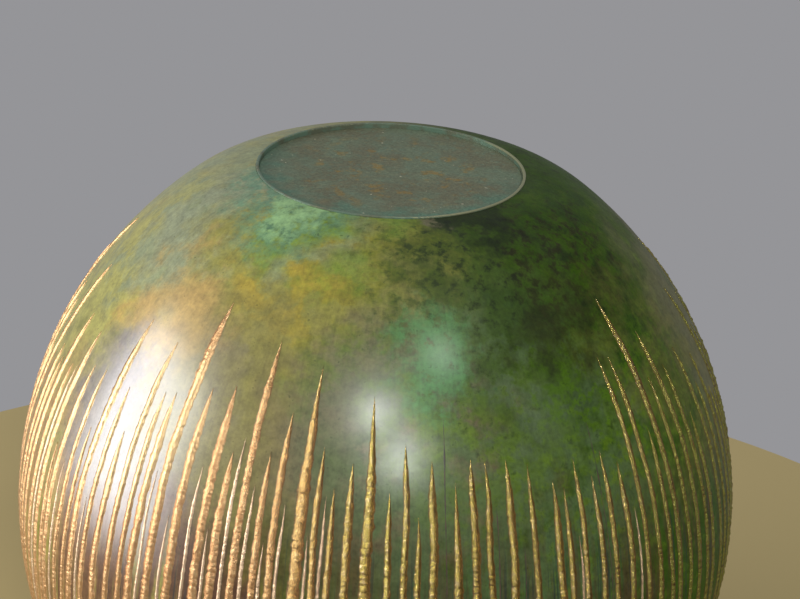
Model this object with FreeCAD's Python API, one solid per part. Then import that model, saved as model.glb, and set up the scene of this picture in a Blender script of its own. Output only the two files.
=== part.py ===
"""Round bronze jar with gold streaks, standing upside down on its mouth with the foot on top.

Millimetres. The origin is the centre of the mouth, +Z runs up the axis to the foot, and the
front of the jar faces -Y. Azimuths are degrees from the front, positive towards +X.
"""
import FreeCAD, Part
import math
import os
import random
from FreeCAD import Vector

# Body: one long belly arc, then a tighter shoulder arc that flattens towards the foot.
belly_radius = 120.0        # widest radius of the jar
belly_height = 102.0        # mouth plane to the widest line
belly_arc_radius = 137.0    # profile radius of the belly, a little flatter than a ball
shoulder_radius = 52.5      # profile radius of the tighter arc below the foot
wall = 3.0                  # sheet thickness of the body
lip_swell = 2.0             # extra thickness of the caulked edge at the mouth
lip_height = 14.0           # height over which the edge thins to the plain sheet
mouth_bevel = 1.0           # broken corners of the mouth

# Foot: a thin band let into the body, with a base plate on a ledge inside it.
foot_radius = 43.0          # outer radius of the band
foot_stand = 0.5            # how far the band's lip stands out of the body
foot_slope = 8.0            # degrees that the body still falls where it meets the band
band = 0.9                  # thickness of the band, and so the width of its lip
band_tail = 1.3             # how far the band reaches below the body's inner face
lip_bevel = 0.2             # broken corners of the lip
ledge = 3.0                 # width of the inward ledge that carries the base plate
base_recess = 1.6           # lip down to the base plate's face
base_thickness = 2.0
solder_leg = 1.2            # leg of the hidden solder fillets
fit = 0.1                   # play of the band in the body and of the plate in the band

# Gold streaks: low strips of roof section, hammered down along the body's meridians.
streak_rise = 0.5           # height of a strip's ridge above the body
streak_tail = 14.0          # length over which it closes at its lower end
streak_foot = 20.0          # lowest end of the streaks above the mouth
foot_scatter = 7.0          # how far the lower ends wander
point_overrun = 2.0         # length by which a strip's blank runs on below its points
bold = 2.9                  # width of the few boldest streaks
broad = 2.2                 # width of a plain streak
slim = 1.8                  # width of a lighter one
hair = 0.9                  # width of the fine lines beside some of them
bold_point = 48.0           # length over which a bold streak closes to its point
plain_point = 18.0          # length over which the others do

# Front streaks as (azimuth, point, width). The point is a percentage of the way up the belly
# arc, from the widest line to where the shoulder begins.
front_streaks = [
    (-79.5, 77, broad), (-75, 54, broad), (-72.5, 52, slim), (-70.2, 67, broad), (-67, 54, broad),
    (-65, 55, hair), (-63.5, 66, broad), (-61, 36, slim), (-59.3, 59, broad), (-57.2, 34, hair),
    (-55.5, 60, slim), (-53, 46, slim), (-50.9, 77, broad), (-49, 30, hair), (-47.8, 60, slim),
    (-45, 50, broad), (-42, 75, slim), (-39.5, 63, slim), (-37.3, 64, broad), (-35.9, 45, hair),
    (-34.2, 89, broad), (-31.9, 36, hair), (-30.5, 68, broad), (-28, 50, hair), (-26.2, 70, broad),
    (-25, 36, hair), (-23.5, 55, broad), (-21.9, 59, hair), (-20.3, 83, slim), (-18.8, 49, hair),
    (-17.2, 57, slim), (-16.1, 36, hair), (-14.8, 67, slim), (-13.6, 46, hair), (-11, 79, bold),
    (-9.7, 40, hair), (-8.6, 60, slim), (-7.5, 49, hair), (-6.4, 51, slim), (-3.8, 57, broad),
    (-1, 73, bold), (2.1, 51, slim), (4.5, 62, slim), (6.5, 45, slim), (8.7, 58, broad),
    (12.3, 53, bold), (15, 58, broad), (17.3, 57, slim), (20.8, 57, broad), (24.4, 55, slim),
    (28.4, 50, broad), (30.2, 48, slim), (31.8, 36, hair), (32.8, 54, slim), (35.7, 49, slim),
    (38.3, 54, slim), (41.4, 50, broad), (43.1, 38, hair), (44.8, 75, slim), (47.6, 74, slim),
    (50.5, 54, slim), (52.7, 88, broad), (55.8, 65, slim), (58.9, 76, broad), (61.9, 65, slim),
    (64.5, 50, broad), (68.6, 66, broad), (71.5, 54, slim), (75, 60, broad), (78, 48, broad),
]
streak_pitch = 2.8          # mean spacing of the streaks round the rest of the jar, degrees
side_points = [63, 49, 75, 57, 43, 68, 53, 83, 48, 61]  # rhythm of their points, per cent
point_scatter = 5.0         # how far those points wander, per cent

# Eighths of the jar, the first one centred on the front, each carrying its own streaks.
sectors = ["front", "front_right", "right", "back_right", "back", "back_left", "left", "front_left"]


def on_arc(centre, radius, angle):
    """Point of the XZ half plane at an angle above the horizontal round a centre."""
    return Vector(centre[0] + radius * math.cos(angle), 0, centre[1] + radius * math.sin(angle))


def arc(centre, radius, start, end):
    """Arc of the half plane, as an exact spline: turned plain arcs that centre beyond the axis
    are measured too small by some programs that read the files."""
    points = [on_arc(centre, radius, a) for a in (start, (start + end) / 2, end)]
    return Part.Arc(*points).toBSpline().toShape()


def polyline(points):
    """Straight edges through (radius, height) pairs of the half plane."""
    corners = [Vector(r, 0, z) for r, z in points]
    return Part.makePolygon(corners).Edges


def turned(edges):
    """Solid of revolution about the jar's axis from the closed outline in the half plane."""
    face = Part.Face(Part.Wire(Part.sortEdges(edges)[0]))
    return face.revolve(Vector(0, 0, 0), Vector(0, 0, 1), 360)


def height_on(centre, radius, distance):
    """Height at which an arc round a centre stands a distance away from the jar's axis."""
    return centre[1] + math.sqrt(radius ** 2 - (distance - centre[0]) ** 2)


def belly_angle(height, radius):
    """Angle on a belly arc of the given radius at a height above the mouth."""
    return math.asin((height - belly_height) / radius)


# Places that follow from the sizes above. The shoulder arc is tangent to the belly arc and
# ends at the foot band with the foot's slope.
belly_centre = (belly_radius - belly_arc_radius, belly_height)
shoulder_axis = foot_radius - shoulder_radius * math.sin(math.radians(foot_slope))
shoulder_centre = (
    shoulder_axis, height_on(belly_centre, belly_arc_radius - shoulder_radius, shoulder_axis))
shoulder_start = math.atan2(shoulder_centre[1] - belly_centre[1], shoulder_axis - belly_centre[0])
foot_seat = height_on(shoulder_centre, shoulder_radius, foot_radius)
inner_seat = height_on(shoulder_centre, shoulder_radius - wall, foot_radius)
lip_top = foot_seat + foot_stand
plate_top = lip_top - base_recess
plate_bottom = plate_top - base_thickness
band_bottom = inner_seat - band_tail
band_bore = foot_radius - band


def body_wall():
    """Raised body: an even sheet, thick at the mouth, open at the top for the foot band."""
    opening = foot_radius + fit
    inside = belly_arc_radius - wall
    shoulder_inside = shoulder_radius - wall
    outer_end = math.acos((opening - shoulder_axis) / shoulder_radius)
    inner_end = math.acos((opening - shoulder_axis) / shoulder_inside)
    mouth_start = belly_angle(mouth_bevel, belly_arc_radius)
    sheet_start = belly_angle(lip_height, inside)
    outer_low = on_arc(belly_centre, belly_arc_radius, mouth_start)
    inner_low = on_arc(belly_centre, inside, sheet_start)
    lip_inside = outer_low.x - wall - lip_swell
    return turned([
        arc(belly_centre, belly_arc_radius, mouth_start, shoulder_start),
        arc(shoulder_centre, shoulder_radius, shoulder_start, outer_end),
        Part.makeLine(on_arc(shoulder_centre, shoulder_radius, outer_end),
                      on_arc(shoulder_centre, shoulder_inside, inner_end)),
        arc(shoulder_centre, shoulder_inside, inner_end, shoulder_start),
        arc(belly_centre, inside, shoulder_start, sheet_start),
    ] + polyline([
        (inner_low.x, inner_low.z), (lip_inside, mouth_bevel), (lip_inside + mouth_bevel, 0),
        (outer_low.x - mouth_bevel, 0), (outer_low.x, outer_low.z),
    ]))


def foot_ring():
    """Band with a thin lip outside and an inward ledge for the base plate."""
    return turned(polyline([
        (foot_radius, lip_top - lip_bevel), (foot_radius, band_bottom),
        (band_bore - ledge, band_bottom), (band_bore - ledge, plate_bottom),
        (band_bore, plate_bottom), (band_bore, lip_top - lip_bevel),
        (band_bore + lip_bevel, lip_top), (foot_radius - lip_bevel, lip_top),
        (foot_radius, lip_top - lip_bevel),
    ]))


def base_plate():
    """Flat disc that lies on the band's ledge, a little below the lip."""
    return Part.makeCylinder(band_bore - fit, base_thickness, Vector(0, 0, plate_bottom))


def foot_solder():
    """Solder run inside the body, between the sheet's inner face and the band."""
    reach = foot_radius + solder_leg
    inside = shoulder_radius - wall
    far = math.acos((reach - shoulder_axis) / inside)
    near = math.acos((foot_radius - shoulder_axis) / inside)
    far_height = height_on(shoulder_centre, inside, reach)
    return turned([arc(shoulder_centre, inside, far, near)] + polyline([
        (foot_radius, inner_seat), (foot_radius, band_bottom), (reach, far_height),
    ]))


def base_solder():
    """Solder fillet below the base plate, against the inner edge of the ledge."""
    edge = band_bore - ledge
    return turned(polyline([
        (edge, plate_bottom), (edge, plate_bottom - solder_leg),
        (edge - solder_leg, plate_bottom), (edge, plate_bottom),
    ]))


def roof(angle, width):
    """Roof section of a strip at an angle on the belly arc. It reaches as far below the body's
    surface as its ridge stands above it, where it is twice as wide."""
    ridge = on_arc(belly_centre, belly_arc_radius + streak_rise, angle)
    eave = on_arc(belly_centre, belly_arc_radius - streak_rise, angle)
    side = Vector(0, width, 0)
    return Part.Face(Part.makePolygon([ridge, eave + side, eave - side, ridge]))


def length_of_strip(start, end, width):
    """Stretch of a strip at its full height, between two angles on the belly arc."""
    centre = Vector(belly_centre[0], 0, belly_centre[1])
    return roof(start, width).revolve(centre, Vector(0, -1, 0), math.degrees(end - start))


def point_of_strip(start, end, width):
    """End of a strip: its ridge leaves full height at start and sinks into the body at end, on
    an arc that is tangent to the body's own curve at start."""
    top = belly_arc_radius + streak_rise
    short = top ** 2 - belly_arc_radius ** 2
    shift = short / (2 * (top - belly_arc_radius * math.cos(end - start)))
    middle = on_arc(belly_centre, shift, start)
    meeting = on_arc(belly_centre, belly_arc_radius, end)
    sweep = math.atan2(meeting.z - middle.z, meeting.x - middle.x) - start
    past = math.copysign(point_overrun / belly_arc_radius, sweep)
    return roof(start, width).revolve(middle, Vector(0, -1, 0), math.degrees(sweep + past))


def streak(azimuth, point, low, width):
    """One strip: a point towards the foot, an even run, and a shorter point at its foot."""
    tip = shoulder_start * point / 100
    bottom = belly_angle(low, belly_arc_radius)
    upper = tip - (bold_point if width == bold else plain_point) / belly_arc_radius
    lower = bottom + streak_tail / belly_arc_radius
    strip = length_of_strip(lower, upper, width).fuse([
        point_of_strip(upper, tip, width), point_of_strip(lower, bottom, width)])
    middle = Vector(belly_centre[0], -2 * width, belly_centre[1])
    strip = strip.cut(Part.makeCylinder(belly_arc_radius, 4 * width, middle, Vector(0, 1, 0)))
    strip.rotate(Vector(0, 0, 0), Vector(0, 0, 1), azimuth - 90)
    return strip


def streak_plan():
    """Azimuth, point, lower end and width of every streak, front ones first."""
    chance = random.Random(7)
    plan = list(front_streaks)
    first, last = front_streaks[0][0], front_streaks[-1][0]
    rest = 360 - (last - first)
    count = round(rest / streak_pitch)
    for i in range(1, count):
        azimuth = last + rest * (i + chance.uniform(-0.22, 0.22)) / count
        point = side_points[i % len(side_points)] + chance.uniform(-point_scatter, point_scatter)
        plan.append((azimuth, point, chance.choice([broad, broad, slim, slim, hair])))
    return [(a, p, streak_foot + chance.uniform(0, foot_scatter), w) for a, p, w in plan]


def gold_streaks():
    """Compounds of strips, one for each eighth of the jar."""
    groups = {name: [] for name in sectors}
    for azimuth, point, low, width in streak_plan():
        name = sectors[round(azimuth / 45) % 8]
        groups[name].append(streak(azimuth, point, low, width))
    return {"gold_streaks_" + name: Part.makeCompound(strips) for name, strips in groups.items()}


parts = {
    "body_wall": body_wall(),
    "foot_ring": foot_ring(),
    "base_plate": base_plate(),
    "foot_solder": foot_solder(),
    "base_solder": base_solder(),
}
parts.update(gold_streaks())

os.makedirs("parts", exist_ok=True)
for name, shape in parts.items():
    shape.exportStep(f"parts/{name}.step")
    print(name, len(shape.Solids), "solids", round(shape.Volume / 1000, 2), "cm3", shape.isValid())
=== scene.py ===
"""Looks of a round bronze jar with gold streaks that stands upside down on its mouth.

Metres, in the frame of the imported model: the origin is the centre of the mouth, +Z runs up the
axis to the foot and the front faces -Y. Azimuths are degrees from the front, positive towards
+X.
"""
import math
import bmesh
import bpy
from mathutils import Matrix, Vector, noise


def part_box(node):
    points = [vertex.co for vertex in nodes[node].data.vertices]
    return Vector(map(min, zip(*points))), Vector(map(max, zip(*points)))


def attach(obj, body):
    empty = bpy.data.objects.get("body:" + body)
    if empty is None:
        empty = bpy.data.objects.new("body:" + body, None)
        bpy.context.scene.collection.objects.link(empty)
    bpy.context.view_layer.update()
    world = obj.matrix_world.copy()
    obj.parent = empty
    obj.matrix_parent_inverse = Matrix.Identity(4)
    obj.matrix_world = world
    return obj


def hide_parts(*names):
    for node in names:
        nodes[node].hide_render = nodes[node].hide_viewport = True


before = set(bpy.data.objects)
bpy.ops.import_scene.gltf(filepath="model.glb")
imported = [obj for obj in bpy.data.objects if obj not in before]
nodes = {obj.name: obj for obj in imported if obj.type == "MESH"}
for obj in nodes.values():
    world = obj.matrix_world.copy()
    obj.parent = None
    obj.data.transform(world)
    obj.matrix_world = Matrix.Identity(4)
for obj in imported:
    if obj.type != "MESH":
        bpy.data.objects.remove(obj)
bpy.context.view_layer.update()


# ---------------------------------------------------------------------------------------------
# Raised body. One sheet of bronze, hammered round and planished smooth. Chemical patina was
# brushed on it in overlapping washes, ochre and pale teal on one side and deep green with black
# clouds on the other, and the whole was waxed to a soft gloss.
# ---------------------------------------------------------------------------------------------
mm = 0.001
belly_height = 102 * mm     # height of the widest line above the mouth
belly_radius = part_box("body_wall")[1].x
belly_arc_radius = 137 * mm     # the belly's profile, a little flatter than a ball
belly_axis = belly_radius - belly_arc_radius    # where that profile has its centre

leaf_green = (0.036, 0.081, 0.001)
deep_green = (0.022, 0.051, 0.007)
black_green = (0.007, 0.014, 0.003)
lime = (0.104, 0.176, 0.008)
bright_green = (0.060, 0.135, 0.003)
black_brown = (0.024, 0.022, 0.007)
olive = (0.155, 0.160, 0.014)
bark_and_sheen = (0.150, 0.138, 0.070)
grey_green = (0.165, 0.119, 0.074)
pond_green = (0.080, 0.126, 0.046)
straw = (0.290, 0.258, 0.066)
ochre = (0.430, 0.290, 0.022)
pale_spring = (0.340, 0.360, 0.170)
mint = (0.260, 0.440, 0.185)
spring_green = (0.140, 0.250, 0.016)
sage = (0.230, 0.268, 0.135)
sage_grey = (0.226, 0.264, 0.172)
yellow_ochre = (0.350, 0.325, 0.070)
moss = (0.250, 0.235, 0.040)
glint_green = (0.070, 0.210, 0.060)
teal_green = (0.105, 0.245, 0.140)
rose_brown = (0.150, 0.124, 0.110)
highlight_lilac = (0.180, 0.150, 0.158)
burnt_rose = (0.340, 0.175, 0.064)
orange_ochre = (0.420, 0.270, 0.075)
khaki = (0.190, 0.165, 0.045)
dark_olive = (0.070, 0.066, 0.020)
smoke_brown = (0.078, 0.036, 0.022)
warm_brown = (0.130, 0.064, 0.030)
night_blue = (0.016, 0.030, 0.030)


def fill(tree, node, inputs):
    """Fills a shader node's inputs with values or with other nodes' outputs."""
    for name, value in inputs.items():
        socket = node.inputs[name]
        if isinstance(value, bpy.types.NodeSocket):
            tree.links.new(value, socket)
        elif socket.type == "RGBA":
            socket.default_value = (*value, 1)
        else:
            socket.default_value = value


def put(tree, kind, inputs=None, **settings):
    """Adds a shader node, sets it up and fills its inputs."""
    made = tree.nodes.new(kind)
    for name, value in settings.items():
        setattr(made, name, value)
    fill(tree, made, inputs or {})
    return made


def reckon(tree, kind, *values):
    """One Math node with its values in order."""
    return put(tree, "ShaderNodeMath", dict(enumerate(values)), operation=kind).outputs[0]


def reckon_vector(tree, kind, *values):
    """One Vector Math node with its values in order."""
    return put(tree, "ShaderNodeVectorMath", dict(enumerate(values)), operation=kind).outputs


def spared(tree, mask, share):
    """1 where a mask is 0, and less by a share where the mask is 1."""
    return reckon(tree, "MULTIPLY_ADD", mask, -share, 1.0)


def eased(tree, value, low, high):
    """Rises smoothly from 0 to 1 while a value goes from low to high."""
    inputs = {"Value": value, "From Min": low, "From Max": high}
    return put(tree, "ShaderNodeMapRange", inputs, interpolation_type="SMOOTHSTEP").outputs[0]


def washed(tree, share, under, over, blend="MIX"):
    """One colour laid over another, by a share from 0 to 1."""
    inputs = {0: share, 6: under, 7: over}
    return put(tree, "ShaderNodeMix", inputs, data_type="RGBA", blend_type=blend).outputs[2]


def clouds(tree, where, scale, detail=4.0, roughness=0.55, distortion=0.0):
    """Soft noise from 0 to 1 at a place, with about one cloud in 1 / scale metres."""
    inputs = {"Vector": where, "Scale": scale, "Detail": detail, "Roughness": roughness,
              "Distortion": distortion}
    return put(tree, "ShaderNodeTexNoise", inputs).outputs["Fac"]


def stretched(tree, where, scale):
    """A place with each axis multiplied, so that noise read there is drawn out."""
    return reckon_vector(tree, "MULTIPLY", where, scale)[0]


def shaded(tree, colour, shade):
    """A colour made darker or lighter by a value."""
    shade = put(tree, "ShaderNodeCombineColor", {i: shade for i in range(3)}).outputs[0]
    return washed(tree, 1.0, colour, shade, "MULTIPLY")


def relief(tree, height, strength, depth):
    """The surface's normal over a height that varies by up to a depth."""
    inputs = {"Height": height, "Strength": strength, "Distance": depth}
    return put(tree, "ShaderNodeBump", inputs).outputs[0]


def empty_group(name, inputs, outputs):
    """An empty node group with its float or vector inputs and its outputs."""
    tree = bpy.data.node_groups.new(name, "ShaderNodeTree")
    for label, kind, value in inputs:
        socket = tree.interface.new_socket(label, in_out="INPUT", socket_type=kind)
        if value is not None:
            socket.default_value = value
    for label in outputs:
        tree.interface.new_socket(label, in_out="OUTPUT", socket_type="NodeSocketFloat")
    return tree, tree.nodes.new("NodeGroupInput").outputs, tree.nodes.new("NodeGroupOutput")


def patina_group():
    """Patina at four sizes: broad washes, blotches, flecks, and the grain of the salts."""
    tree, given, out = empty_group(
        "patina_clouds",
        [("Place", "NodeSocketVector", None), ("Size", "NodeSocketFloat", 1.0)],
        ["Wash", "Blotch", "Fleck", "Grain"])
    for name, scale, detail, rough in (
            ("Wash", 24, 3, 0.60), ("Blotch", 85, 4, 0.60), ("Fleck", 260, 4, 0.65),
            ("Grain", 900, 2, 0.60)):
        size = reckon(tree, "MULTIPLY", given["Size"], scale)
        tree.links.new(clouds(tree, given["Place"], size, detail, rough), out.inputs[name])
    return tree


def wear_group():
    """Fine scratches from handling and cleaning, in three directions that cross."""
    along, aside, deep = 26, 900, 200       # noise per metre along a scratch, across it and down
    tree, given, out = empty_group(
        "rubbed_scratches",
        [("Place", "NodeSocketVector", None), ("Density", "NodeSocketFloat", 0.5)],
        ["Lines", "Rubs"])
    lines = None
    for turn in (0.35, 1.45, 2.5):
        inputs = {"Vector": given["Place"], "Rotation": (0, 0, turn),
                  "Scale": (along, aside, deep)}
        lane = put(tree, "ShaderNodeMapping", inputs).outputs[0]
        lane_noise = clouds(tree, lane, 1.0, 2, 0.5, 0.15)
        off_middle = reckon(tree, "ABSOLUTE", reckon(tree, "SUBTRACT", lane_noise, 0.5))
        line = reckon(tree, "SUBTRACT", 1, eased(tree, off_middle, 0.0, 0.012))
        lines = line if lines is None else reckon(tree, "MAXIMUM", lines, line)
    rubs = clouds(tree, given["Place"], 38, 5, 0.65, 0.4)
    kept = eased(tree, reckon(tree, "ADD", rubs, given["Density"]), 0.85, 1.15)
    tree.links.new(reckon(tree, "MULTIPLY", lines, kept), out.inputs["Lines"])
    tree.links.new(rubs, out.inputs["Rubs"])
    return tree


patina_clouds = patina_group()
rubbed_scratches = wear_group()


def new_material(name):
    """An empty material with its Principled shader."""
    made = bpy.data.materials.new(name)
    made.use_nodes = True
    tree = made.node_tree
    tree.nodes.clear()
    shader = put(tree, "ShaderNodeBsdfPrincipled")
    output = put(tree, "ShaderNodeOutputMaterial")
    tree.links.new(shader.outputs[0], output.inputs[0])
    return made, tree, shader


def place_group(tree, group, **inputs):
    """One of this file's node groups, placed in a material."""
    return put(tree, "ShaderNodeGroup", inputs, node_tree=group).outputs


def facing(azimuth, elevation):
    """Unit vector from the centre of the belly towards an azimuth and an elevation."""
    a, e = math.radians(azimuth), math.radians(elevation)
    return (math.sin(a) * math.cos(e), -math.cos(a) * math.cos(e), math.sin(e))


def from_belly(tree, place):
    """Unit vector from the centre of the belly towards a place."""
    return reckon_vector(tree, "NORMALIZE",
                       reckon_vector(tree, "SUBTRACT", place, (0, 0, belly_height))[0])[0]


def within(tree, ray, azimuth, elevation, full, none):
    """1 for rays within full degrees of a direction, falling to 0 at none degrees."""
    near = reckon_vector(tree, "DOT_PRODUCT", ray, facing(azimuth, elevation))["Value"]
    return eased(tree, near, math.cos(math.radians(none)), math.cos(math.radians(full)))


def body_material():
    made, tree, shader = new_material("waxed_patina")
    place = put(tree, "ShaderNodeTexCoord").outputs["Object"]
    patina = place_group(tree, patina_clouds, Place=place, Size=1.0)
    wash, blotch, fleck, grain = (patina[n] for n in ("Wash", "Blotch", "Fleck", "Grain"))
    elsewhere = reckon_vector(tree, "ADD", place, (0.31, 0.17, 0.53))[0]
    other = place_group(tree, patina_clouds, Place=elsewhere, Size=1.2)
    second, fine = other["Blotch"], other["Fleck"]
    broad = reckon(tree, "MULTIPLY", reckon(tree, "ADD", wash, second), 0.5)

    # Direction from the belly's centre, pushed about so that no wash has a smooth edge.
    smooth_ray = from_belly(tree, place)
    push = put(tree, "ShaderNodeTexNoise",
               {"Vector": place, "Scale": 34.0, "Detail": 5.0, "Roughness": 0.7}).outputs["Color"]
    half = (0.5, 0.5, 0.5)
    push = stretched(tree, reckon_vector(tree, "SUBTRACT", push, half)[0], half)
    ray = reckon_vector(tree, "NORMALIZE", reckon_vector(tree, "ADD", smooth_ray, push)[0])[0]

    # Brush strokes run up and down: noise that is fine round the jar and long along its height.
    level = reckon_vector(tree, "NORMALIZE", stretched(tree, smooth_ray, (1, 1, 0)))[0]
    upright = reckon_vector(tree, "ADD", level, stretched(tree, place, (0, 0, 1)))[0]
    strokes = clouds(tree, stretched(tree, upright, (30, 30, 22)), 1.0, 4, 0.65, 0.3)
    hairs = clouds(tree, stretched(tree, upright, (110, 110, 26)), 1.0, 3, 0.6, 0.2)
    height = put(tree, "ShaderNodeSeparateXYZ", {0: place}).outputs["Z"]

    def region(*limits):
        """A region of the body, as within() gives it, with a ragged edge."""
        return within(tree, ray, *limits)

    def patchy(share, field, low, high, most):
        """A share broken up by noise: none below the low limit, the most above the high one."""
        part = reckon(tree, "MULTIPLY", share, eased(tree, field, low, high))
        return reckon(tree, "MULTIPLY", part, most)

    # Each wash: azimuth and elevation of its middle, degrees to where it thins and to where it
    # ends, the noise that breaks it up with the noise's limits, its greatest share, its colour.
    washes = (
        (-90, 15, 58, 96, wash, -0.5, -0.4, 1.00, olive),
        (-90, 15, 50, 86, broad, 0.26, 0.46, 1.00, straw),
        (-68, 67, 17, 29, blotch, 0.28, 0.52, 0.90, sage),
        (-48, 62, 9, 21, second, 0.34, 0.56, 0.90, pale_spring),
        (-72, 42, 18, 32, second, 0.38, 0.56, 0.90, yellow_ochre),
        (-66, 5, 18, 32, broad, 0.34, 0.54, 0.75, burnt_rose),
        (-8, 8, 8, 24, wash, 0.25, 0.45, 0.80, dark_olive),
        (-46, 49, 6, 15, broad, 0.36, 0.50, 0.90, ochre),
        (-32, 58, 6, 18, second, 0.42, 0.58, 0.75, ochre),
        (-58, 60, 7, 17, second, 0.28, 0.50, 0.80, sage_grey),
        (-22, 54, 12, 26, broad, 0.34, 0.50, 0.95, moss),
        (-10, 61, 6, 20, second, 0.48, 0.60, 0.60, ochre),
        (-43, 28, 9, 19, blotch, 0.20, 0.40, 0.95, rose_brown),
        # The lilac-grey spot at azimuth -38 lies in the window's reflection and tints it: painted
        # highlight.
        (-38, 36, 5, 14, blotch, 0.20, 0.40, 0.85, highlight_lilac),
        (-47, 47, 4, 12, wash, 0.22, 0.42, 0.90, orange_ochre),
        (-24, 38, 8, 20, wash, 0.25, 0.50, 0.90, khaki),
        (5, 35, 7, 24, wash, 0.30, 0.50, 0.85, grey_green),
        (20, 30, 14, 34, blotch, 0.26, 0.52, 0.90, pond_green),
        (20, 50, 10, 28, second, 0.44, 0.62, 0.70, lime),
        (56, 42, 20, 50, fine, 0.48, 0.66, 0.70, lime),
        (46, 60, 14, 34, broad, 0.44, 0.58, 0.70, deep_green),
        (50, 54, 6, 17, second, 0.50, 0.66, 0.70, black_green),
        (45, 60, 9, 24, fine, 0.48, 0.68, 0.75, black_green),
        (16, 58, 8, 22, fine, 0.50, 0.68, 0.35, black_green),
        (58, 30, 30, 60, fleck, 0.56, 0.74, 0.60, black_green),
        # The small green spot at azimuth 11 and elevation 47 is a painted highlight, where the
        # high lamp reflects.
        (11, 47, 1, 9, fleck, 0.30, 0.50, 0.90, glint_green),
        # The grey-brown wash along the far right edge is partly patina and partly painted sheen,
        # standing in for the glancing reflection there.
        (94, 32, 10, 30, wash, 0.30, 0.50, 0.80, bark_and_sheen),
        (49, 43, 6, 19, fine, 0.44, 0.64, 0.65, bright_green),
        (54, 57, 5, 15, fine, 0.44, 0.62, 0.65, black_brown),
        (41, 50, 2, 9, second, 0.36, 0.54, 0.50, black_brown),
        (64, 34, 8, 22, blotch, 0.36, 0.58, 0.30, khaki),
        (170, 40, 16, 44, second, 0.42, 0.60, 0.80, deep_green),
        (-150, 42, 14, 40, blotch, 0.40, 0.60, 0.70, yellow_ochre),
        (125, 58, 8, 24, fine, 0.48, 0.66, 0.70, black_green),
        (-125, 62, 8, 22, second, 0.42, 0.60, 0.60, sage),
        (150, 20, 14, 40, blotch, 0.40, 0.58, 0.70, pond_green),
        (-18, 69, 4, 13, wash, 0.34, 0.52, 0.90, spring_green),
        (-46, 74, 7, 15, fine, 0.32, 0.54, 0.85, teal_green),
        (-37, 71, 1, 7, fleck, 0.28, 0.52, 0.90, mint),
        # The black-green patch just outside the foot ring's lip at the right front is painted
        # shadow of the ring.
        (36, 70, 3, 8, blotch, 0.34, 0.50, 0.80, black_green),
        (22, 72, 1, 5, fine, 0.40, 0.60, 0.80, bark_and_sheen),
        (-34, 0, 18, 29, strokes, 0.32, 0.56, 0.95, warm_brown))
    colour = leaf_green
    for azimuth, elevation, full, none, field, low, high, most, paint in washes:
        share = patchy(region(azimuth, elevation, full, none), field, low, high, most)
        colour = washed(tree, share, colour, paint)

    # Lower down the brush left brown and blue-black lines. Grain, flecks and hairs shade it all.
    lower = eased(tree, height, 165 * mm, 120 * mm)
    lower = reckon(tree, "MULTIPLY", lower, spared(tree, region(-80, 10, 28, 54), 0.8))
    colour = washed(tree, patchy(lower, strokes, 0.42, 0.62, 0.7), colour, smoke_brown)
    colour = washed(tree, patchy(lower, hairs, 0.56, 0.66, 0.7), colour, night_blue)
    shade = reckon(tree, "ADD", reckon(tree, "MULTIPLY", grain, 0.7),
                   reckon(tree, "MULTIPLY", fleck, 1.1))
    shade = reckon(tree, "ADD", shade, reckon(tree, "MULTIPLY_ADD", hairs, 0.35, -0.08))
    colour = shaded(tree, colour, shade)
    pits = patchy(eased(tree, grain, 0.60, 0.70), fine, 0.44, 0.64, 0.5)
    colour = washed(tree, pits, colour, black_green)

    # The wax is thickest on the left shoulder. It was wiped thin low down and at the front.
    thick = reckon(tree, "MULTIPLY_ADD", eased(tree, height, 112 * mm, 150 * mm), 0.72, 0.08)
    thick = reckon(tree, "MULTIPLY", thick, spared(tree, region(12, 0, 22, 46), 0.8))
    highlight_patch = reckon(tree, "MULTIPLY_ADD", region(-38, 33, 5, 18), 0.16, 0.03)
    wax = reckon(tree, "MULTIPLY_ADD", region(-70, 20, 30, 98), thick, highlight_patch)
    planished = reckon(tree, "MULTIPLY_ADD", clouds(tree, place, 70, 2, 0.5), 3.0, grain)
    fill(tree, shader, {
        "Base Color": colour, "Metallic": 0.2,
        "Roughness": reckon(tree, "MULTIPLY_ADD", blotch, 0.26, 0.34),
        "Coat Weight": wax, "Coat Roughness": 0.27, "Coat IOR": 1.95,
        "Specular IOR Level": 0.06, "Normal": relief(tree, planished, 0.25, 0.2 * mm)})
    return made


def dress(node, material):
    """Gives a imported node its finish; its shape stays as it is."""
    nodes[node].data.materials.clear()
    nodes[node].data.materials.append(material)


dress("body_wall", body_material())


# ---------------------------------------------------------------------------------------------
# Foot ring. A thin band of the same bronze on edge, let into the top of the body and soldered
# from inside. Its lip is paler bronze along the right front, a painted highlight, and it has
# fine bright scratches all round. Dark green salts sit in the corner inside it.
# ---------------------------------------------------------------------------------------------
foot_green = (0.122, 0.196, 0.138)
foot_brown = (0.116, 0.132, 0.085)
lip_bronze = (0.360, 0.370, 0.210)


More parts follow.
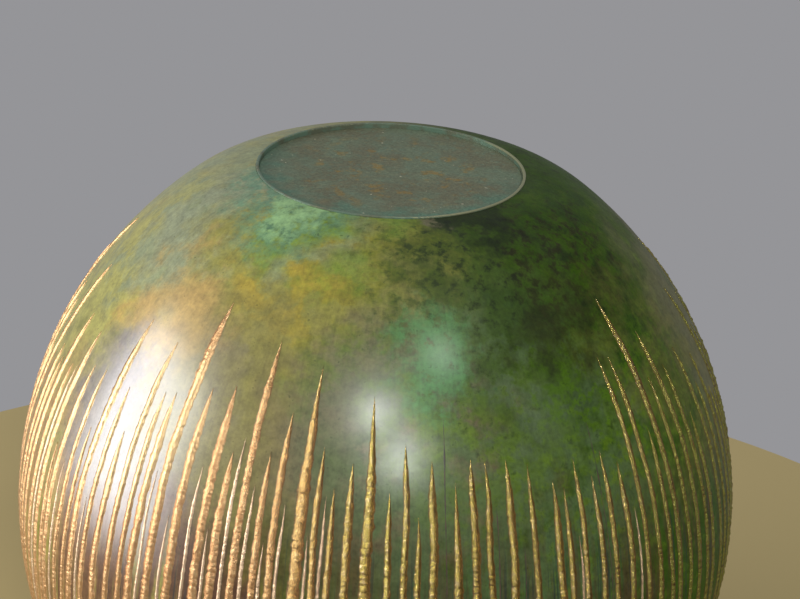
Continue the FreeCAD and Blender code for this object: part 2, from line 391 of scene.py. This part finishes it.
def foot_material():
    made, tree, shader = new_material("foot_patina")
    place = put(tree, "ShaderNodeTexCoord").outputs["Object"]
    patina = place_group(tree, patina_clouds, Place=place, Size=2.0)
    wear = place_group(tree, rubbed_scratches, Place=place, Density=0.55)
    height = put(tree, "ShaderNodeSeparateXYZ", {0: place}).outputs["Z"]
    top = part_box("foot_ring")[1].z
    colour = washed(tree, eased(tree, patina["Blotch"], 0.40, 0.62), foot_green, foot_brown)
    lip = eased(tree, height, top - 0.6 * mm, top - 0.1 * mm)
    # The lip grows paler towards the right front: painted highlight where its edge catches the
    # light. The scratch lines added to it are real wear.
    lit_side = reckon_vector(tree, "DOT_PRODUCT", place, (20, -6, 0))["Value"]
    edge_mark = reckon(tree, "ADD", eased(tree, lit_side, 0.2, 0.8),
                  reckon(tree, "MULTIPLY", patina["Wash"], 0.8))
    lit_lip_and_scratches = reckon(tree, "MULTIPLY", eased(tree, edge_mark, 0.62, 1.15), lip)
    lit_lip_and_scratches = reckon(tree, "MAXIMUM", lit_lip_and_scratches, reckon(tree, "MULTIPLY", wear["Lines"], lip))
    fill(tree, shader, {
        "Base Color": washed(tree, lit_lip_and_scratches, colour, lip_bronze),
        "Metallic": reckon(tree, "MULTIPLY_ADD", lit_lip_and_scratches, 0.4, 0.3),
        "Roughness": reckon(tree, "MULTIPLY_ADD", patina["Blotch"], 0.3, 0.22),
        "Normal": relief(tree, patina["Grain"], 0.3, 0.2 * mm)})
    return made


dress("foot_ring", foot_material())


# ---------------------------------------------------------------------------------------------
# Base plate. A flat disc laid on the band's inner ledge and soldered from below. It is duller
# than the body: brown and green patina with teal salts near the rim, hair scratches, and a few
# specks of gold leaf that strayed there.
# ---------------------------------------------------------------------------------------------
plate_grey = (0.142, 0.180, 0.112)
plate_brown = (0.140, 0.144, 0.084)
plate_teal = (0.090, 0.190, 0.130)
plate_ochre = (0.260, 0.165, 0.030)
pale_speck = (0.620, 0.600, 0.420)


def plate_material():
    made, tree, shader = new_material("base_patina")
    place = put(tree, "ShaderNodeTexCoord").outputs["Object"]
    patina = place_group(tree, patina_clouds, Place=place, Size=1.5)
    wear = place_group(tree, rubbed_scratches, Place=place, Density=0.45)
    elsewhere = reckon_vector(tree, "ADD", place, (0.19, 0.42, 0.07))[0]
    spots = place_group(tree, patina_clouds, Place=elsewhere, Size=2.0)
    out = reckon_vector(tree, "LENGTH", stretched(tree, place, (1, 1, 0)))["Value"]
    colour = washed(tree, eased(tree, spots["Wash"], 0.42, 0.58), plate_grey, plate_brown)
    ragged = reckon(tree, "MULTIPLY_ADD", patina["Blotch"], 40 * mm, out)
    front = reckon_vector(tree, "DOT_PRODUCT", place, (-6, -20, 0))["Value"]
    salts = reckon(tree, "MULTIPLY", eased(tree, ragged, 50 * mm, 64 * mm),
                   eased(tree, front, -0.5, 0.5))
    colour = washed(tree, salts, colour, plate_teal)
    middle = eased(tree, out, 40 * mm, 20 * mm)
    spot = reckon(tree, "MULTIPLY", eased(tree, spots["Blotch"], 0.54, 0.66), middle)
    colour = washed(tree, reckon(tree, "MULTIPLY", spot, 0.7), colour, plate_ochre)
    dark = reckon(tree, "MULTIPLY", eased(tree, spots["Fleck"], 0.52, 0.66), 0.5)
    colour = washed(tree, dark, colour, foot_green)
    colour = washed(tree, reckon(tree, "MULTIPLY", wear["Lines"], 0.45), colour, lip_bronze)
    speck = eased(tree, clouds(tree, place, 420, 2, 0.5), 0.72, 0.76)
    colour = washed(tree, speck, colour, pale_speck)
    scratched = reckon(tree, "SUBTRACT", patina["Grain"], wear["Lines"])
    fill(tree, shader, {
        "Base Color": shaded(tree, colour,
                             reckon(tree, "MULTIPLY_ADD", patina["Grain"], 1.2, 0.40)),
        "Metallic": reckon(tree, "MULTIPLY_ADD", speck, 0.4, 0.25),
        "Roughness": reckon(tree, "MULTIPLY_ADD", patina["Blotch"], 0.35, 0.36),
        "Normal": relief(tree, scratched, 0.3, 0.2 * mm)})
    return made


dress("base_plate", plate_material())


# ---------------------------------------------------------------------------------------------
# Solder. Two soft grey runs inside the jar, one below the base plate and one round the band,
# smoothed with the iron and never polished.
# ---------------------------------------------------------------------------------------------
solder_grey = (0.250, 0.240, 0.215)
solder_dark = (0.090, 0.085, 0.070)


def solder_material():
    made, tree, shader = new_material("solder_run")
    place = put(tree, "ShaderNodeTexCoord").outputs["Object"]
    patina = place_group(tree, patina_clouds, Place=place, Size=3.0)
    stained = eased(tree, patina["Blotch"], 0.40, 0.60)
    fill(tree, shader, {
        "Base Color": washed(tree, stained, solder_grey, solder_dark), "Metallic": 0.8,
        "Roughness": reckon(tree, "MULTIPLY_ADD", patina["Blotch"], 0.3, 0.35),
        "Normal": relief(tree, patina["Wash"], 0.5, 0.5 * mm)})
    return made


solder = solder_material()
dress("foot_solder", solder)
dress("base_solder", solder)


# ---------------------------------------------------------------------------------------------
# Gold streaks. Strips of gold hammered into chisel cuts that run down the belly, with fine pale
# lines beside some of them. Every blow of the hammer left a small bead, so the edges are
# scalloped and the gold ripples. It is darker brown in its creases. Pale flecks on it are
# painted glints, a pale patch where the window reflects is a painted highlight, and one side of
# each strip is painted shade.
# ---------------------------------------------------------------------------------------------
bead_rise = 0.46 * mm       # height of a bead's top above the body
crease_rise = 0.16 * mm     # height of the gold between two beads
gold_sunk = 0.04 * mm       # the edges go this far into the body
bold_point = 48 * mm        # length over which a bold streak closes to its point
plain_point = 18 * mm       # length over which the others do
bold_from = 2.6 * mm        # least width of a bold streak
hair_below = 1.2 * mm       # greatest width of a fine line
foot_length = 14 * mm       # length over which a streak's lower end closes
bead_pitch = 1.7 * mm       # mean length of one hammer bead
along_step = 0.35 * mm      # length of one row of faces
across = (-1.3, -1.0, -0.82, -0.50, 0.0, 0.50, 0.82, 1.0, 1.3)  # in half widths; 1.3 is sunk
skirt_rise = 0.03 * mm      # height of the burnt edge that each blow pushed out on the body
ribbon_unit = 20 * mm       # length of streak for one unit of the ribbon's long coordinate
yellow_gold = (0.600, 0.485, 0.122)
shade_gold = (0.250, 0.145, 0.032)
peach_gold = (0.620, 0.325, 0.165)
red_shade_gold = (0.460, 0.225, 0.095)
glint_gold = (0.840, 0.650, 0.340)
silver_pink = (0.840, 0.620, 0.420)
olive_gold = (0.270, 0.270, 0.055)
crease_brown = (0.120, 0.060, 0.014)
burnt_edge = (0.130, 0.060, 0.014)


def strips(node):
    """Azimuth, upper and lower angle on the belly arc, and width of each strip of a node."""
    mesh = bmesh.new()
    mesh.from_mesh(nodes[node].data)
    bmesh.ops.remove_doubles(mesh, verts=mesh.verts, dist=0.001 * mm)
    found, met = [], set()
    for start in mesh.verts:
        if start in met:
            continue
        met.add(start)
        strip = [start]     # grows while it is walked, until it holds the whole strip
        for vertex in strip:
            near = [e.other_vert(vertex) for e in vertex.link_edges]
            strip.extend(v for v in near if v not in met)
            met.update(near)
        middle = sum((v.co for v in strip), Vector()) / len(strip)
        azimuth = math.atan2(middle.x, -middle.y)
        aside = Vector((math.cos(azimuth), math.sin(azimuth), 0))
        width = 2 * max(abs(v.co.dot(aside)) for v in strip)
        ends = [math.asin((z - belly_height) / belly_arc_radius)
                for z in (max(v.co.z for v in strip), min(v.co.z for v in strip))]
        found.append((azimuth, *ends, width))
    mesh.free()
    return sorted(found)


def on_body(azimuth, angle, aside, rise):
    """Point at an angle on the belly arc, moved sideways along the wall and out of it."""
    radius = belly_axis + belly_arc_radius * math.cos(angle)
    turn = azimuth + aside / radius
    out = radius + rise * math.cos(angle)
    height = belly_height + (belly_arc_radius + rise) * math.sin(angle)
    return (out * math.sin(turn), -out * math.cos(turn), height)


def waver(seed, place):
    """Slow one-way noise between about -1 and 1, the same on every run."""
    return noise.noise((seed * 17.31, place, seed * 3.7)) * 1.6


def opening_law(down, length, width):
    """Share of the full width at a distance below the point: quick at first, then easing."""
    point_length = bold_point if width > bold_from else plain_point
    share = min(down, point_length) / point_length
    foot = min(length - down, foot_length) / foot_length
    return max(0.0, (1 - (1 - share) ** 2) * (1 - (1 - foot) ** 2))


def lay_ribbon(sheets, azimuth, top, bottom, width, seed):
    """Adds one streak's beaded ribbon to the lists of points, faces and corner values."""
    points, faces, marks = sheets
    length = (top - bottom) * belly_arc_radius
    count = max(8, round(length / along_step))
    fine = width < hair_below
    crown = 0.6 if fine else 1.0
    # The front and the right were beaten hard. The blows grow softer over 40 degrees to the left.
    hard = min(1.0, max(0.0, 1 + math.degrees(azimuth) / 40))
    span = across[-1] - across[0]
    first = len(points)
    for i in range(count + 1):
        down = length * i / count
        angle = top - down / belly_arc_radius
        share = opening_law(down, length, width)
        # Beads passed so far, and how deep the crease between two of them goes here.
        beat = down / bead_pitch + 0.5 * waver(seed, down / (3.5 * mm))
        deep = 0.50 + 0.36 * waver(seed + 40, down / (4 * mm))
        deep *= min(1, 0.15 + down / (45 * mm)) * (0.5 + 0.5 * hard)
        bead = 1 - deep * (1 - abs(math.sin(math.pi * beat)) ** 0.7)
        # Each edge bulges at a bead and wavers by itself, and the whole streak sways a little.
        swell = 0.98 + 0.16 * min(1, down / (70 * mm)) + 0.10 * waver(seed + 240, down / (11 * mm))
        left = swell + 0.18 * (bead - 0.8) + 0.17 * waver(seed + 80, down / (1.4 * mm))
        right = swell + 0.18 * (bead - 0.8) + 0.17 * waver(seed + 120, down / (1.7 * mm))
        sway = 0.35 * mm * waver(seed + 160, down / (18 * mm))
        for u in across:
            slant = abs(math.sin(math.pi * (beat + 0.2 * u * waver(seed + 20, beat / 3)))) ** 0.7
            mound = 1 - deep * (1 - slant)
            half = (0.52 - 0.07 * hard) * width * share * (left if u < 0 else right)
            nugget = (0.05 + 0.19 * hard) * mm * waver(seed + 200 + 3 * u, down / (1.2 * mm))
            rise = crease_rise + (bead_rise - crease_rise) * max(0.0, mound) + nugget
            fall = max(0.0, 1 - abs(u) ** (3.0 - 1.2 * hard))
            rise = rise * crown * min(1, 0.25 + 1.2 * share) * fall
            rise += skirt_rise if abs(u) == 1 else -gold_sunk if abs(u) > 1 else 0
            points.append(on_body(azimuth, angle, sway * share + u * half, rise))
            marks.append((0.5 + u / span, down / ribbon_unit, 1 - mound, float(fine)))
    row = len(across)
    for i in range(count):
        for j in range(row - 1):
            a = first + i * row + j
            faces.append((a, a + 1, a + row + 1, a + row))


def ribbon_object(name, sheets, material):
    """Mesh object of ribbons, with the place across and along each ribbon and its creases."""
    points, faces, marks = sheets
    mesh = bpy.data.meshes.new(name)
    mesh.from_pydata(points, [], faces)
    mesh.shade_smooth()
    layer = mesh.uv_layers.new(name="ribbon")
    for column, label in enumerate(("crease", "hair"), start=2):
        values = mesh.attributes.new(label, "FLOAT", "POINT")
        values.data.foreach_set("value", [m[column] for m in marks])
    corners = [v for loop in mesh.loops for v in marks[loop.vertex_index][:2]]
    layer.data.foreach_set("uv", corners)
    mesh.materials.append(material)
    piece = bpy.data.objects.new(name, mesh)
    bpy.context.scene.collection.objects.link(piece)
    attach(piece, "root")
    return piece


def gold_material():
    made, tree, shader = new_material("hammered_gold")
    place = put(tree, "ShaderNodeTexCoord").outputs["Object"]
    patina = place_group(tree, patina_clouds, Place=place, Size=4.0)
    ribbon = put(tree, "ShaderNodeUVMap", uv_map="ribbon").outputs[0]
    side = put(tree, "ShaderNodeSeparateXYZ", {0: ribbon}).outputs["X"]
    crease = put(tree, "ShaderNodeAttribute", attribute_name="crease").outputs["Fac"]
    far = put(tree, "ShaderNodeSeparateXYZ", {0: place}).outputs["X"]

    # Softly beaten on the left and crisp in front. The gold is peach on the left, yellow in
    # front and darker olive on the far right: partly its own tint and partly painted light, the
    # peach for the window's warm reflection and the olive for shade away from the lamps.
    crisp = reckon(tree, "MULTIPLY_ADD", eased(tree, far, -60 * mm, -10 * mm), 0.7, 0.3)
    left_tint = reckon(tree, "MULTIPLY", eased(tree, far, 6 * mm, -40 * mm), 0.85)
    right_dim = reckon(tree, "MULTIPLY", eased(tree, far, 56 * mm, 100 * mm), 0.95)
    # Pale flecks are painted glints, and the pale patch on the left where the window reflects is a
    # painted highlight.
    highlight_patch = within(tree, from_belly(tree, place), -46, 33, 6, 18)
    cream = reckon(tree, "MULTIPLY", eased(tree, patina["Fleck"], 0.48, 0.62),
                   spared(tree, right_dim, 1.1))
    cream = reckon(tree, "MULTIPLY", cream, spared(tree, left_tint, 0.70))
    cream = reckon(tree, "MAXIMUM", cream, reckon(tree, "MULTIPLY", highlight_patch, 0.65))
    bright = washed(tree, left_tint, yellow_gold, peach_gold)
    bright = washed(tree, right_dim, bright, olive_gold)
    bright = washed(tree, cream, bright, glint_gold)

    # One side of each strip is darker and redder, painted shade: the left side on the left of
    # the jar, the right side elsewhere.
    lean = eased(tree, far, -60 * mm, -8 * mm)
    turned = reckon(tree, "MULTIPLY", reckon(tree, "SUBTRACT", side, 0.5),
                    reckon(tree, "MULTIPLY_ADD", lean, 1.8, -0.8))
    turned = reckon(tree, "MULTIPLY_ADD", eased(tree, far, 0.0, 35 * mm), 0.12, turned)
    lit = reckon(tree, "MULTIPLY_ADD", patina["Blotch"], 0.5, reckon(tree, "ADD", turned, 0.5))
    shaded_side = reckon(tree, "MULTIPLY", eased(tree, lit, 0.66, 1.04), spared(tree, highlight_patch, 0.35))
    colour = washed(tree, shaded_side, bright, washed(tree, left_tint, shade_gold, red_shade_gold))
    hair = put(tree, "ShaderNodeAttribute", attribute_name="hair").outputs["Fac"]
    colour = washed(tree, reckon(tree, "MULTIPLY", hair, 0.8), colour, silver_pink)

    # Darker brown in the creases, and a burnt line where the gold meets the body.
    crease_dark = reckon(tree, "MULTIPLY_ADD", crease, 0.7, patina["Blotch"])
    crease_dark = reckon(tree, "MULTIPLY", eased(tree, crease_dark, 0.55, 1.15),
                  eased(tree, far, -200 * mm, 20 * mm))
    colour = washed(tree, crease_dark, colour, crease_brown)
    rim = reckon(tree, "ABSOLUTE", reckon(tree, "SUBTRACT", side, 0.5))
    edge_mark = reckon(tree, "MULTIPLY_ADD", patina["Blotch"], 0.16, rim)
    burnt = reckon(tree, "MULTIPLY", eased(tree, edge_mark, 0.42, 0.50),
                   reckon(tree, "MULTIPLY_ADD", crisp, 0.85, 0.1))
    gloss = reckon(tree, "MULTIPLY_ADD", patina["Blotch"], 0.24, 0.32)
    gloss = reckon(tree, "MULTIPLY_ADD", crisp, -0.27, gloss)
    gloss = reckon(tree, "MULTIPLY_ADD", eased(tree, far, 70 * mm, 112 * mm), 0.22, gloss)
    beaten = reckon(tree, "MULTIPLY_ADD", patina["Wash"], 1.5, patina["Fleck"])
    beaten = reckon(tree, "MULTIPLY", beaten, crisp)
    fill(tree, shader, {
        "Base Color": washed(tree, burnt, colour, burnt_edge),
        "Metallic": reckon(tree, "MULTIPLY_ADD", burnt, -0.7, 0.9),
        "Roughness": gloss, "Normal": relief(tree, beaten, 1.0, 0.8 * mm)})
    return made


gold = gold_material()
laid = 0
for node in sorted(n for n in nodes if n.startswith("gold_streaks_")):
    sheets = ([], [], [])
    for azimuth, top, bottom, width in strips(node):
        laid += 1
        lay_ribbon(sheets, azimuth, top, bottom, width, seed=laid)
    piece = ribbon_object(node.replace("gold_streaks", "beaded_gold"), sheets, gold)
    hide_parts(node)


# ---------------------------------------------------------------------------------------------
# Empty cuts. Beside a few streaks the chisel left a fine cut that never took its gold. The
# patina filled it, so it shows as a thin dark line.
# ---------------------------------------------------------------------------------------------
cut_rise = 0.06 * mm            # height of the patina that fills a cut, above the body
cut_sunk = 0.03 * mm            # its edges go this far into the body
cut_foot = math.radians(-25)    # angle of the cuts' lower ends on the belly arc
cut_point = 12 * mm             # length over which each end closes
cut_brown = (0.030, 0.026, 0.014)
# Azimuth and upper end on the belly arc in degrees, and width in millimetres.
empty_cuts = ((10.7, 36, 0.5), (18.6, 25, 0.6), (22.4, 20, 0.5), (37.1, 33, 0.5), (63.4, 30, 0.6))


def cut_material():
    made, tree, shader = new_material("patina_in_cut")
    place = put(tree, "ShaderNodeTexCoord").outputs["Object"]
    patina = place_group(tree, patina_clouds, Place=place, Size=3.0)
    share = eased(tree, patina["Blotch"], 0.40, 0.62)
    fill(tree, shader, {
        "Base Color": washed(tree, share, cut_brown, smoke_brown),
        "Roughness": reckon(tree, "MULTIPLY_ADD", patina["Fleck"], 0.3, 0.3)})
    return made


def lay_cut(sheets, azimuth, top, width, seed):
    """Adds one thin line, from its point down to the belly's lower half."""
    points, faces, marks = sheets
    length = (top - cut_foot) * belly_arc_radius
    count = round(length / mm)
    first = len(points)
    for i in range(count + 1):
        down = length * i / count
        angle = top - down / belly_arc_radius
        end = min(1, down / cut_point, (length - down) / cut_point)
        half = width / 2 * end * max(0.15, 0.7 + 0.5 * waver(seed, down / (6 * mm)))
        sway = 0.4 * mm * waver(seed + 40, down / (30 * mm))
        for u in (-1, 0, 1):
            rise = cut_rise * end * (1 - abs(u)) - cut_sunk
            points.append(on_body(azimuth, angle, sway + u * half, rise))
            marks.append((0.5 + 0.5 * u, down / ribbon_unit, 0, 0))
    for i in range(count):
        for j in range(2):
            a = first + i * 3 + j
            faces.append((a, a + 1, a + 4, a + 3))


sheets = ([], [], [])
for seed, (azimuth, top, width) in enumerate(empty_cuts, start=500):
    lay_cut(sheets, math.radians(azimuth), math.radians(top), width * mm, seed)
ribbon_object("empty_cuts", sheets, cut_material())


# ---------------------------------------------------------------------------------------------
# Turntable. The jar stands loose on a plain round board, 600 mm across, cut from 18 mm sheet.
# The board's upper edge is broken, and it is painted a flat cream.
# ---------------------------------------------------------------------------------------------
board_radius = 300 * mm
board_thickness = 18 * mm
board_edge = 1.5 * mm       # the broken upper edge
board_sides = 128           # flats round its rim
board_cream = (0.425, 0.336, 0.149)


def turntable():
    made, tree, shader = new_material("cream_board")
    fill(tree, shader, {"Base Color": board_cream, "Roughness": 0.7})
    mesh = bmesh.new()
    turns = [math.tau * i / board_sides for i in range(board_sides)]
    rows = [[mesh.verts.new((r * math.cos(a), r * math.sin(a), z)) for a in turns]
            for r, z in ((board_radius - board_edge, 0), (board_radius, -board_edge),
                         (board_radius, -board_thickness))]
    mesh.faces.new(rows[0])
    mesh.faces.new(rows[-1][::-1])
    for upper, lower in zip(rows, rows[1:]):
        for i in range(board_sides):
            mesh.faces.new((lower[i], lower[i - 1], upper[i - 1], upper[i]))
    data = bpy.data.meshes.new("turntable")
    mesh.to_mesh(data)
    mesh.free()
    data.materials.append(made)
    piece = bpy.data.objects.new("turntable", data)
    bpy.context.scene.collection.objects.link(piece)


turntable()


# ---------------------------------------------------------------------------------------------
# Light and camera. A large soft window stands on the left. Four small lamps shine from the front
# and the right, and the room round them is dim and even.
# ---------------------------------------------------------------------------------------------
def lamp(name, azimuth, elevation, distance, width, height, power, shape="ELLIPSE"):
    """A soft light that looks at the jar, placed by degrees and metres from its belly."""
    light = bpy.data.lights.new(name, "AREA")
    light.shape = shape
    light.size = width
    light.size_y = height
    light.energy = power
    made = bpy.data.objects.new(name, light)
    bpy.context.scene.collection.objects.link(made)
    aim = Vector((0, 0, belly_height))
    out = Vector(facing(azimuth, elevation))
    made.location = aim + out * distance
    made.rotation_mode = "QUATERNION"
    made.rotation_quaternion = out.to_track_quat("Z", "Y")


lamp("window", -84, 8, 1.5, 0.98, 1.22, 25.5, "RECTANGLE")
lamp("front_lamp", -1, 43, 1.6, 0.20, 0.12, 4.0)
lamp("lower_front_lamp", 9, 30, 1.6, 0.24, 0.18, 6.6)
lamp("side_lamp", 63, 28, 1.6, 0.12, 0.12, 0.9)
lamp("high_lamp", 33, 56, 1.6, 0.14, 0.14, 1.5)

room_light = (0.36, 0.36, 0.37)
room_seen = (0.300, 0.300, 0.315)
world = bpy.data.worlds.new("room")
bpy.context.scene.world = world
world.use_nodes = True
tree = world.node_tree
path = put(tree, "ShaderNodeLightPath").outputs
seen = reckon(tree, "MAXIMUM", path["Is Camera Ray"], path["Is Glossy Ray"])
seen = reckon(tree, "MAXIMUM", seen, path["Is Transmission Ray"])
fill(tree, tree.nodes["Background"], {"Color": washed(tree, seen, room_light, room_seen)})
bpy.context.scene.view_settings.view_transform = "Standard"

camera = bpy.data.objects.new("camera", bpy.data.cameras.new("camera"))
bpy.context.scene.collection.objects.link(camera)
bpy.context.scene.camera = camera
camera.data.lens = 90
camera.data.sensor_width = 36
camera.location = (0, -0.59905, 0.44247)
# It looks down on the jar by 24 degrees, and leans a little to one side.
right = Vector((0.99888931, 0.01215415, 0.0455239))
ahead = Vector((0.00750203, 0.91280991, -0.4083158))
upward = right.cross(ahead)
camera.rotation_mode = "QUATERNION"
turn = [[right[i], upward[i], -ahead[i]] for i in range(3)]
camera.rotation_quaternion = Matrix(turn).to_quaternion()
